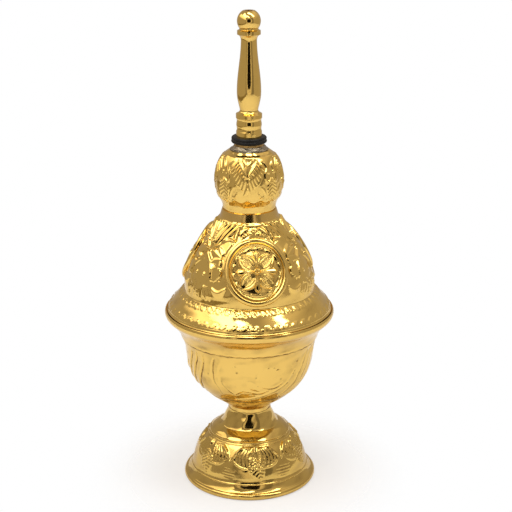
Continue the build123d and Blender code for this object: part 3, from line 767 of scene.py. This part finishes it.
def medallion_piece(name, line, width, turn):
    """A struck disc pressed to the dome's curve, its middle in the given direction."""
    rings, spokes = MEDALLION_RINGS, MEDALLION_SPOKES
    share = np.linspace(0.004, 1.0, rings)[:, None]
    bearing = np.radians(np.arange(spokes) * 360.0 / spokes)[None, :]
    half_wide, half_tall = width / 2, MEDALLION_TALL / 2
    across = half_wide * share * np.cos(bearing)
    up = half_tall * share * np.sin(bearing)
    inwards = (1.0 - share) * (half_wide + half_tall) / 2 * np.ones(across.shape)
    rim = np.clip(1.0 - ((inwards - MEDALLION_RIM / 2) / (MEDALLION_RIM / 2 + 0.1)) ** 2, 0.0, 1.0)
    fine = np.clip(1.0 - ((inwards - MEDALLION_RIM - 0.95) / 0.4) ** 2, 0.0, 1.0)
    field = smoothstep(MEDALLION_RIM + 1.4, MEDALLION_RIM + 1.7, inwards)
    marks = np.random.default_rng(3).uniform(-0.012, 0.012, across.shape)
    relief = MEDALLION_PLATE + MEDALLION_CROWN * np.sqrt(rim) + 0.5 * fine
    relief -= 0.3 * np.exp(-((inwards - MEDALLION_RIM - 0.3) / 0.25) ** 2)
    chasing = bpy.context.scene.sprinkler_work.chasing
    relief += field * (marks - MEDALLION_SINK + petal_relief(across, up) * chasing)
    relief = np.minimum(relief, MEDALLION_PLATE + MEDALLION_CROWN)
    tilt = math.radians(MEDALLION_TILT)
    middle_radius = np.interp(MEDALLION_LEVEL, line[:, 1], line[:, 0])

    def on_dome(across_mm, up_mm):
        """Places on the dome straight behind those of the flat drawing, found by halving."""
        low, high = (np.full(across_mm.shape, end) for end in MEDALLION_REACH)
        for _ in range(HALVINGS):
            middle = (low + high) / 2
            y = -middle_radius + up_mm * math.sin(tilt) - middle * math.cos(tilt)
            z = MEDALLION_LEVEL + up_mm * math.cos(tilt) + middle * math.sin(tilt)
            outside = np.hypot(across_mm, y) > np.interp(z, line[:, 1], line[:, 0])
            high = np.where(outside, middle, high)
            low = np.where(outside, low, middle)
        return np.stack([across_mm, y, z], axis=-1)

    def lifted(base, rise):
        """Places above the dome by the given rise, along its outward normal."""
        normals = outward(line)
        slope = np.stack([np.interp(base[..., 2], line[:, 1], normals[:, axis]) for axis in (0, 1)], axis=-1)
        flat = base[..., :2] / np.linalg.norm(base[..., :2], axis=-1, keepdims=True)
        lift = np.concatenate([flat * slope[..., :1], slope[..., 1:]], axis=-1)
        return base + lift * rise[..., None]

    face = on_dome(across, up)
    layers = [lifted(face, relief), lifted(face[-1:], np.full((1, spokes), MEDALLION_BACK))]
    back = slice(rings - 1, None, -24)
    layers.append(lifted(face[back], np.full(face[back].shape[:2], MEDALLION_BACK)))
    corners = np.concatenate(layers)
    kept = np.zeros(corners.shape[:2])
    kept[:rings] = relief - MEDALLION_PLATE - MEDALLION_SINK
    faces = np.roll(ring_faces(len(corners), spokes, closed=False)[:, ::-1], 1, axis=1).tolist()
    corners = corners.reshape(-1, 3)
    corners = np.vstack([corners, corners[:spokes].mean(axis=0)])
    faces += [(len(corners) - 1, spoke, (spoke + 1) % spokes) for spoke in range(spokes)]
    angle = math.radians(turn)
    spin = np.array([[math.cos(angle), math.sin(angle), 0], [-math.sin(angle), math.cos(angle), 0], [0, 0, 1]])
    return piece_from_grid(name, corners @ spin, faces, np.append(kept.reshape(-1), 0.0), sharp=60.0)


class SPRINKLER_OT_medallions(bpy.types.Operator):
    """Three struck medallions, each with a rounded rim round a cross of petals"""

    bl_idname = "sprinkler.medallions"
    bl_label = "Struck medallions"

    def execute(self, context):
        line = rounded(outer_line("dome_shell"), MEDALLION_GAP)
        low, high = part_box("medallion_front")
        width = (high.x - low.x) / MM
        material = gilt("gilt_medallion", tarnish=0.35)
        for place, turn in MEDALLION_TURNS.items():
            piece = medallion_piece("struck_medallion_" + place, line, width, turn)
            dress(piece, ["medallion_" + place], "vessel", material)
        return {"FINISHED"}


class SPRINKLER_OT_neck(bpy.types.Operator):
    """Plain collar and the chased knop above it"""

    bl_idname = "sprinkler.neck"
    bl_label = "Collar and knop"

    def execute(self, context):
        work = context.scene.sprinkler_work
        colours = context.scene.sprinkler_colours
        collar = rounded(outer_line("neck_collar"), COLLAR_GAP)
        angle = np.arange(COLLAR_COLUMNS) * 360.0 / COLLAR_COLUMNS
        dents = wander(angle, travel(collar)[:, None], 41, 0.05, 8.0, radius=14.0)
        inner = inside_of(collar, work.sheet / MM, COLLAR_INSIDE)
        piece = turned_piece("spun_collar", collar, inner, COLLAR_COLUMNS, dents)
        plain = worked_metal("plain_collar", colours.plain, colours.tarnish, 0.10, 0.12, 1.5, 0.5)
        dress(piece, ["neck_collar"], "vessel", plain)

        outer = rounded(outer_line("neck_bulb"), KNOP_GAP)
        inner = inside_of(outer, work.sheet / MM, KNOP_INSIDE)
        chasing = Chasing(outer, KNOP_COLUMNS, repeats=4, offset=-10.5, seed=44, depth=1.25)
        chasing.ridge([(20.5, 177.8), (9.5, 173.8), (1.2, 169.2)], 0.6, 0.5)
        for rib in range(7):
            start = (19.5 - 2.8 * rib, 176.9 - 1.35 * rib)
            end = (30.5 - 3.5 * rib, 172.8 - 1.55 * rib)
            chasing.ridge([start, end], 0.5, 0.5, taper=0.5)
        chasing.leaf([(15, 175.5), (16, 170.5), (13, 164.5)], 3.2, 0.1)
        chasing.ridges(
            ([(11, 177.8), (1.0, 175.0)], 0.5, 0.35),
            ([(0, 175.4), (0, 172.5), (0, 169.4)], 0.6, 0.4),
            ([(0, 166.8), (0, 163.5), (0, 160.2)], 0.5, 0.35),
            ([(0, 164.6), (3.6, 162.4), (7.5, 159.8)], 0.45, 0.3),
            ([(30, 177.0), (39.5, 174.2), (33.5, 170.2), (36.5, 166.8), (43.5, 168.4)], 0.8, 0.5),
        )
        chasing.knob(40.5, 171.4, 0.8, 0.4)
        chasing.leaf([(45, 167.0), (45, 161.0), (45, 155.8)], 3.4, 0.16, ribs=6.0, rib=0.12, skew=1.4, rim=0.16)
        chasing.ridge([(24, 164.4), (30, 161.0), (34, 157.6)], 0.5, 0.3)
        chasing.ridge([(18, 161.4), (24, 158.8), (28, 159.8)], 0.45, 0.25)
        wave = KNOP_BAND[0] + 0.7 * np.cos(np.radians(chasing.turn * 16))
        chasing.relief += 0.22 * np.exp(-((chasing.level - wave) / 0.55) ** 2)
        chasing.matting(*KNOP_BAND, 0.004, seed=9)
        relief = chasing.result() * smoothstep(*KNOP_FADE, chasing.level)
        mouth = smoothstep(*KNOP_MOUTH, chasing.level)
        front = 0.55 + 0.45 * np.cos(np.radians(chasing.angle + 8.0))
        ragged = wander(chasing.angle, 0.0 * chasing.level, 45, 0.12, 5.0, radius=10.0)
        relief += mouth * 0.12 * np.cos(np.radians(chasing.angle * 5.0 + 40.0))
        drop = mouth * (1.1 * front + np.abs(ragged))
        piece = turned_piece("chased_knop", outer, inner, KNOP_COLUMNS, relief, drop)
        dress(piece, ["neck_bulb"], "vessel", gilt("gilt_neck", roughness=0.05))
        return {"FINISHED"}


class SPRINKLER_OT_joint(bpy.types.Operator):
    """Solder fillet, turned bush and rubber washer under the spout"""

    bl_idname = "sprinkler.joint"
    bl_label = "Solder, bush and washer"

    def execute(self, context):
        colours = context.scene.sprinkler_colours
        columns = JOINT_COLUMNS
        angle = np.arange(columns) * 360.0 / columns
        _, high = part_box("neck_solder")
        wide, top = high.x / MM, high.z / MM
        bush = outer_line("neck_bush")
        bush_radius = bush[:, 0].max()
        fillet = rounded([(wide - 0.9, top - 2.9), (wide - 0.5, top - 1.9), (wide - 1.5, top - 1.5),
                          (bush_radius + 0.5, top - 0.7), (bush_radius, top - 0.1)], SOLDER_GAP)
        climb = travel(fillet)[:, None]
        lumps = wander(angle, climb, 51, 0.12, 4.0, radius=9.0)
        inner = [(bush_radius - 0.05, top - 2.9), (bush_radius - 0.05, top - 0.15)]
        piece = turned_piece("solder_fillet", fillet, inner, columns, lumps)
        solder = worked_metal("solder", colours.solder, SOLDER_DULL, 0.32, 0.2, 4.0, 0.6, bump=0.2)
        dress(piece, ["neck_solder"], "vessel", solder)

        line = rounded(bush, BUSH_GAP)
        rings = 0.03 * np.cos(2 * np.pi * travel(line) / 0.7)[:, None]
        stains = wander(angle, travel(line)[:, None], 52, 0.05, 3.0, radius=8.0)
        relief = (rings + stains - 0.06) * np.ones((1, columns))
        bore = [(BUSH_BORE, line[0, 1]), (BUSH_BORE, line[-1, 1])]
        piece = turned_piece("turned_bush", line, bore, columns, relief)
        dull = worked_metal("bush_brass", colours.bush, BUSH_DULL, 0.25, 0.25, 3.0, 1.4, bump=0.15)
        dress(piece, ["neck_bush"], "vessel", dull)

        line = rounded(outer_line("gasket"), WASHER_GAP)
        bore = [(WASHER_BORE, line[0, 1]), (WASHER_BORE, line[-1, 1])]
        piece = turned_piece("rubber_washer", line, bore, WASHER_COLUMNS, sharp=70.0)
        rubber = worked_metal("gasket_rubber", colours.rubber, RUBBER_DUST, 0.34, 0.2, 3.0, 0.4,
                              bump=0.2, metallic=0.0)
        rubber.node_tree.nodes["Principled BSDF"].inputs["Specular IOR Level"].default_value = 0.25
        dress(piece, ["gasket"], "washer", rubber)
        return {"FINISHED"}


def bored_tip(piece, top):
    """Cuts the fine holes through the dished tip."""
    corners, faces = [], []
    places = [(0.0, 0.0, TIP_CENTRE_RADIUS)]
    for turn in range(TIP_HOLES):
        angle = math.radians(360.0 * turn / TIP_HOLES)
        places.append((TIP_HOLE_RING * math.cos(angle), TIP_HOLE_RING * math.sin(angle), TIP_HOLE_RADIUS))
    sides = TIP_HOLE_SIDES
    for x, y, radius in places:
        first = len(corners)
        for level in (top - DRILL_BELOW, top + DRILL_ABOVE):
            for side in range(sides):
                around = 2 * math.pi * side / sides
                corners.append(((x + radius * math.cos(around)) * MM, (y + radius * math.sin(around)) * MM, level * MM))
        for side in range(sides):
            beside = (side + 1) % sides
            faces.append((first + side, first + beside, first + sides + beside, first + sides + side))
        faces.append(tuple(first + side for side in reversed(range(sides))))
        faces.append(tuple(first + sides + side for side in range(sides)))
    mesh = bpy.data.meshes.new("tip_drill")
    mesh.from_pydata(corners, [], faces)
    drill = bpy.data.objects.new("tip_drill", mesh)
    bpy.context.scene.collection.objects.link(drill)
    cut = piece.modifiers.new("holes", "BOOLEAN")
    cut.operation = "DIFFERENCE"
    cut.object = drill
    cut.solver = "EXACT"
    bpy.context.view_layer.update()
    evaluated = piece.evaluated_get(bpy.context.evaluated_depsgraph_get())
    made = bpy.data.meshes.new_from_object(evaluated)
    piece.modifiers.clear()
    piece.data = made
    bpy.data.objects.remove(drill)


class SPRINKLER_OT_spout(bpy.types.Operator):
    """Turned baluster with its threaded spigot and a ball whose dished tip has fine holes"""

    bl_idname = "sprinkler.spout"
    bl_label = "Turned spout"

    def execute(self, context):
        _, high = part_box("spout")
        top = high.z / MM
        line = outer_line("spout")
        outer = rounded(line[line[:, 0] > 2.0], SPOUT_GAP)
        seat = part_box("gasket")[1].z / MM
        columns = SPOUT_COLUMNS
        angle = np.arange(columns) * 360.0 / columns
        phase = (outer[:, 1:] / THREAD_PITCH - angle[None, :] / 360.0) % 1.0
        thread = -THREAD_DEPTH * smoothstep(0.12, 0.5, np.abs(phase - 0.5))
        on_spigot = smoothstep(seat - THREAD_END[0], seat - THREAD_END[1], outer[:, 1:])
        relief = thread * on_spigot
        relief = relief + 0.004 * wander(angle, travel(outer)[:, None], 61, 1.0, 6.0, radius=6.0)
        relief = relief * smoothstep(top, top - 1.0, outer[:, 1:])
        tip = np.array(SPOUT_DISH)
        outer = np.vstack([outer, tip])
        relief = np.vstack([relief, np.zeros((len(tip), columns))])
        piece = turned_piece("turned_spout", outer, SPOUT_BORE, columns, relief, sharp=32.0)
        bored_tip(piece, top)
        dress(piece, ["spout"], "spout", gilt("spout_brass", roughness=0.035, haze=0.035))
        return {"FINISHED"}


class SPRINKLER_OT_hidden(bpy.types.Operator):
    """Finish of the pieces inside the foot: edge wire, stud, washer and nut"""

    bl_idname = "sprinkler.hidden"
    bl_label = "Hidden fasteners"

    def execute(self, context):
        colours = context.scene.sprinkler_colours
        steel = worked_metal("fastener_steel", colours.steel, STEEL_DULL, 0.25, 0.15, 3.0, 0.0, bump=0.2)
        brass = worked_metal("edge_wire", colours.plain, colours.tarnish, 0.3, 0.15, 3.0, 0.0, bump=0.2)
        for name, material in (("stem_stud", steel), ("stem_washer", steel), ("stem_nut", steel),
                               ("foot_edge_wire", brass)):
            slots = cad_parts[name].material_slots
            if not len(slots):
                raise RuntimeError("no material slot on " + name)
            for slot in slots:
                slot.material = material
        return {"FINISHED"}


def glow(name, colour, near_strength, far_strength=None, towards=(0.0, 0.0, 0.0), near=0.0, far=1.0, along=None):
    """A glowing stage material: even, or changing with the distance from a point or along one axis."""
    material, tree = new_material(name)
    tree.nodes.clear()
    light = add_node(tree, "ShaderNodeEmission", inputs={"Color": (*colour, 1.0), "Strength": near_strength})
    end = add_node(tree, "ShaderNodeOutputMaterial")
    wire(tree, (light, 0, end, "Surface"))
    if far_strength is not None:
        place = add_node(tree, "ShaderNodeTexCoord")
        level = add_node(tree, "ShaderNodeMapRange", interpolation_type="SMOOTHSTEP",
                         inputs={1: near, 2: far, 3: near_strength, 4: far_strength})
        if along is None:
            gap = add_node(tree, "ShaderNodeVectorMath", operation="DISTANCE", inputs={1: towards})
            wire(tree, (place, "Object", gap, 0), (gap, "Value", level, 0))
        else:
            parts = add_node(tree, "ShaderNodeSeparateXYZ")
            wire(tree, (place, "Object", parts, 0), (parts, along, level, 0))
        wire(tree, (level, 0, light, "Strength"))
    return material


def stage_sheet(name, corners, material, seen=False):
    """A flat stage piece from its corners, out of the camera's sight unless seen."""
    mesh = bpy.data.meshes.new(name)
    mesh.from_pydata(corners, [], [tuple(range(len(corners)))])
    sheet = bpy.data.objects.new(name, mesh)
    mesh.materials.append(material)
    bpy.context.scene.collection.objects.link(sheet)
    sheet.visible_camera = seen
    sheet.visible_shadow = seen
    return sheet


def paper_material(colour):
    """Matt white paper that fades into the white background, for the camera alone, away from the object."""
    material, tree = new_material("studio_paper")
    shader = tree.nodes["Principled BSDF"]
    shader.inputs["Base Color"].default_value = (*colour, 1.0)
    shader.inputs["Roughness"].default_value = 0.9
    shader.inputs["Specular IOR Level"].default_value = 0.1
    place = add_node(tree, "ShaderNodeTexCoord")
    gap = add_node(tree, "ShaderNodeVectorMath", operation="LENGTH")
    fade = add_node(tree, "ShaderNodeMapRange", inputs={1: FLOOR_FADE[0], 2: FLOOR_FADE[1], 3: 0.0, 4: 1.0},
                    interpolation_type="SMOOTHSTEP")
    ray = add_node(tree, "ShaderNodeLightPath")
    both = add_node(tree, "ShaderNodeMath", operation="MULTIPLY")
    white = add_node(tree, "ShaderNodeEmission", inputs={"Color": (1.0, 1.0, 1.0, 1.0), "Strength": 1.0})
    seen = add_node(tree, "ShaderNodeMath", operation="MULTIPLY", inputs={1: FLOOR_WHITE})
    lifted = add_node(tree, "ShaderNodeMixShader")
    clear = add_node(tree, "ShaderNodeBsdfTransparent")
    mix = add_node(tree, "ShaderNodeMixShader")
    wire(tree, (place, "Object", gap, 0), (gap, "Value", fade, 0), (fade, 0, both, 0),
         (ray, "Is Camera Ray", both, 1), (ray, "Is Camera Ray", seen, 0), (seen, 0, lifted, 0),
         (shader, 0, lifted, 1), (white, 0, lifted, 2), (both, 0, mix, 0), (lifted, 0, mix, 1), (clear, 0, mix, 2),
         (mix, 0, tree.nodes["Material Output"], "Surface"))
    return material


def white_world():
    """White behind the object, also in metal and through glass, and a quiet grey for all other light."""
    world = bpy.data.worlds.new("studio")
    world.use_nodes = True
    bpy.context.scene.world = world
    tree = world.node_tree
    back = tree.nodes["Background"]
    back.inputs["Color"].default_value = (1.0, 1.0, 1.0, 1.0)
    ray = add_node(tree, "ShaderNodeLightPath")
    seen = add_node(tree, "ShaderNodeMath", operation="MAXIMUM")
    through = add_node(tree, "ShaderNodeMath", operation="MAXIMUM")
    level = add_node(tree, "ShaderNodeMapRange", inputs={1: 0.0, 2: 1.0, 3: 0.5, 4: 1.0})
    wire(tree, (ray, "Is Camera Ray", seen, 0), (ray, "Is Glossy Ray", seen, 1), (seen, 0, through, 0),
         (ray, "Is Transmission Ray", through, 1), (through, 0, level, 0), (level, 0, back, "Strength"))


class SPRINKLER_OT_studio(bpy.types.Operator):
    """White paper floor in a light tent, three soft boxes overhead, and the camera"""

    bl_idname = "sprinkler.studio"
    bl_label = "Studio"

    def execute(self, context):
        studio = context.scene.sprinkler_studio
        colours = context.scene.sprinkler_colours
        wide, back, front, tall = TENT_WIDE, TENT_BACK, TENT_FRONT, TENT_TALL
        stage_sheet("studio_floor", [(FLOOR_LEFT, front, 0), (wide, front, 0), (wide, back, 0), (FLOOR_LEFT, back, 0)],
                    paper_material(colours.paper), seen=True)
        wall = studio.wall_light
        camera_spot = Vector((-studio.distance * math.sin(studio.side), -studio.distance * math.cos(studio.side),
                              studio.height))
        x, z = camera_spot.x, camera_spot.z
        half, cut = WINDOW_HALF, WINDOW_CUT
        corners = [(-half, -half + cut), (-half + cut, -half), (half - cut, -half), (half, -half + cut),
                   (half, half - cut), (half - cut, half), (-half + cut, half), (-half, half - cut)]
        tent = {
            "tent_step": ([(-wide, front, 0), (FLOOR_LEFT, front, 0), (FLOOR_LEFT, back, 0), (-wide, back, 0)],
                          BROWN, 0.5 * wall, {}),
            "tent_left": ([(-wide, front, 0), (-wide, back, 0), (-wide, back, tall), (-wide, front, tall)],
                          WARM, 0.9 * wall, {"far_strength": 3.6 * wall, "near": 0.42, "far": 0.60, "along": "Z"}),
            "tent_right": ([(wide, front, 0), (wide, front, tall), (wide, back, tall), (wide, back, 0)],
                           WARM, 0.95 * wall, {"far_strength": 1.4 * wall, "near": 0.4, "far": 0.75, "along": "Z"}),
            "tent_back": ([(-wide, back, 0), (wide, back, 0), (wide, back, tall), (-wide, back, tall)],
                          WARM, 0.9 * wall, {}),
            "tent_front": ([(-wide, front, 0), (-wide, front, tall), (wide, front, tall), (wide, front, 0)],
                           WARM, 1.7 * wall, {"far_strength": 0.5 * wall, "towards": (x, front, z),
                                              "near": 0.30, "far": 0.46}),
            "tent_roof": ([(-wide, front, tall), (-wide, back, tall), (wide, back, tall), (wide, front, tall)],
                          WARM, 0.85 * wall, {"far_strength": 1.6 * wall, "near": 0.05, "far": 0.4, "along": "X"}),
            "tent_window": ([(x + right, front + TENT_INSET, z + up) for right, up in corners],
                            BROWN, WINDOW_GLOW, {}),
        }
        for name, (places, colour, strength, change) in tent.items():
            stage_sheet(name, places, glow(name, colour, strength, **change))
        for name, (x, y), across, along, turn, share in SOFT_BOXES:
            lamp = bpy.data.lights.new(name, "AREA")
            lamp.shape = "RECTANGLE"
            lamp.size, lamp.size_y = across, along
            lamp.energy = studio.box_light * share * math.pi * lamp.size * lamp.size_y
            holder = bpy.data.objects.new(name, lamp)
            holder.location = (x, y, tall - TENT_INSET)
            holder.rotation_euler = (0.0, 0.0, math.radians(turn))
            holder.visible_camera = False
            bpy.context.scene.collection.objects.link(holder)

        lens = bpy.data.cameras.new("camera")
        lens.lens = studio.lens
        lens.sensor_width = 36.0
        lens.clip_start = 0.01
        camera = bpy.data.objects.new("camera", lens)
        camera.location = camera_spot
        camera.rotation_euler = (math.pi / 2 - studio.pitch, 0.0, -studio.side - studio.pan)
        bpy.context.scene.collection.objects.link(camera)
        bpy.context.scene.camera = camera
        bpy.context.scene.view_settings.view_transform = "Standard"
        white_world()
        return {"FINISHED"}


STEPS = (
    SPRINKLER_OT_foot,
    SPRINKLER_OT_bowl,
    SPRINKLER_OT_dome,
    SPRINKLER_OT_medallions,
    SPRINKLER_OT_neck,
    SPRINKLER_OT_joint,
    SPRINKLER_OT_spout,
    SPRINKLER_OT_hidden,
    SPRINKLER_OT_studio,
)


class SPRINKLER_PT_panel(bpy.types.Panel):
    """Sizes, colours and the steps that build the sprinkler"""

    bl_label = "Holy water sprinkler"
    bl_idname = "SPRINKLER_PT_panel"
    bl_space_type = "VIEW_3D"
    bl_region_type = "UI"
    bl_category = "Sprinkler"

    def draw(self, context):
        layout = self.layout
        for group in (context.scene.sprinkler_work, context.scene.sprinkler_colours, context.scene.sprinkler_studio):
            column = layout.column()
            for name in group.__annotations__:
                column.prop(group, name)
        for step in STEPS:
            layout.operator(step.bl_idname)


CLASSES = (SprinklerWork, SprinklerColours, SprinklerStudio, *STEPS, SPRINKLER_PT_panel)


def register():
    for entry in CLASSES:
        bpy.utils.register_class(entry)
    bpy.types.Scene.sprinkler_work = bpy.props.PointerProperty(type=SprinklerWork)
    bpy.types.Scene.sprinkler_colours = bpy.props.PointerProperty(type=SprinklerColours)
    bpy.types.Scene.sprinkler_studio = bpy.props.PointerProperty(type=SprinklerStudio)


def unregister():
    del bpy.types.Scene.sprinkler_work
    del bpy.types.Scene.sprinkler_colours
    del bpy.types.Scene.sprinkler_studio
    for entry in reversed(CLASSES):
        bpy.utils.unregister_class(entry)


def main():
    """Builds every piece and the studio."""
    register()
    bpy.ops.sprinkler.foot()
    bpy.ops.sprinkler.bowl()
    bpy.ops.sprinkler.dome()
    bpy.ops.sprinkler.medallions()
    bpy.ops.sprinkler.neck()
    bpy.ops.sprinkler.joint()
    bpy.ops.sprinkler.spout()
    bpy.ops.sprinkler.hidden()
    bpy.ops.sprinkler.studio()


if __name__ == "__main__":
    main()
